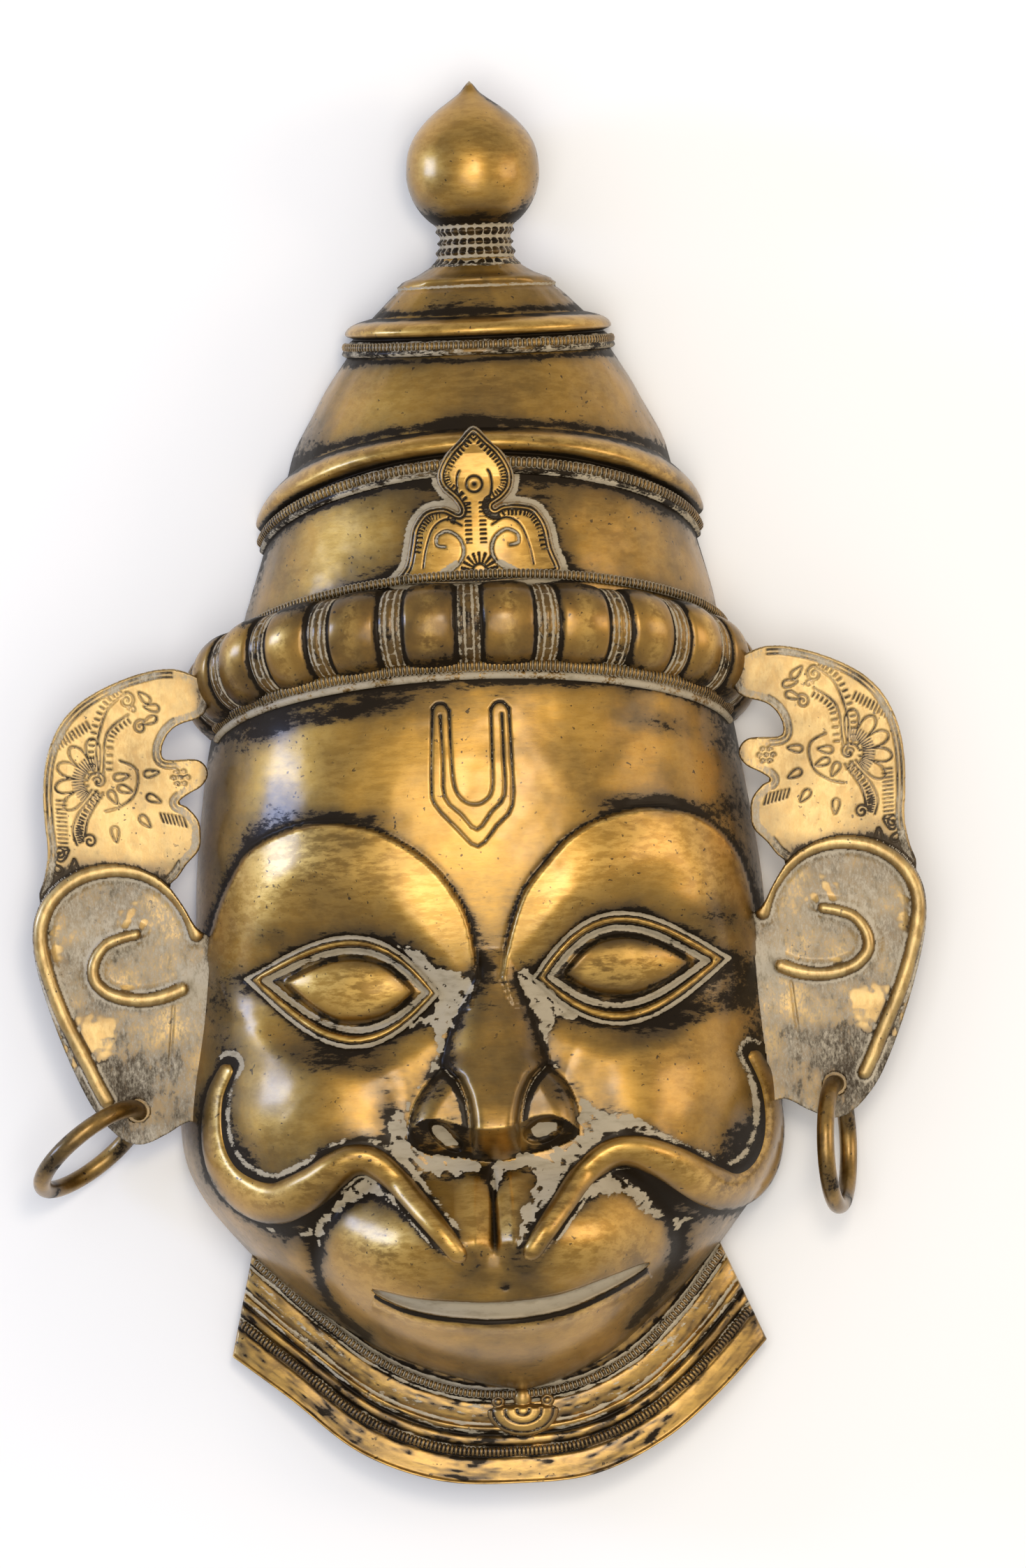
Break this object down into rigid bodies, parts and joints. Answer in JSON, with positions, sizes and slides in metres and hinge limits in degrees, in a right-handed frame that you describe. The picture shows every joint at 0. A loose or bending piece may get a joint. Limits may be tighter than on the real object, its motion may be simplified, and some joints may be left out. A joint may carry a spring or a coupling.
{
  "type": "hanuman mask",
  "caption": "Large aged brass mask of the crowned monkey deity with lobed headband, curled moustache, sheet ears, ear rings and ridged neck collar.",
  "frame": {"origin": "middle of the bounding box, on the plane that the open back lies on", "axes": "+Y along the mask from the neck collar to the finial of the crown, +Z out of the face, +X to the viewer's right looking at the face"},
  "size_m": [0.3852, 0.6, 0.1314],
  "materials": {
    "aged_brass": "hammered brass, golden with a dark brown patina and pale polish residue in the grooves",
    "ear_brass": "chased sheet brass, brighter and scratched, with dark and beige engraved lines",
    "ring_brass": "smooth round bar, dark with polished wear"
  },
  "bodies": {
    "root": {"mask_shell": "aged_brass", "ear_left": "ear_brass", "ear_right": "ear_brass", "earring_left": "ring_brass", "earring_right": "ring_brass"}
  },
  "joints": []
}
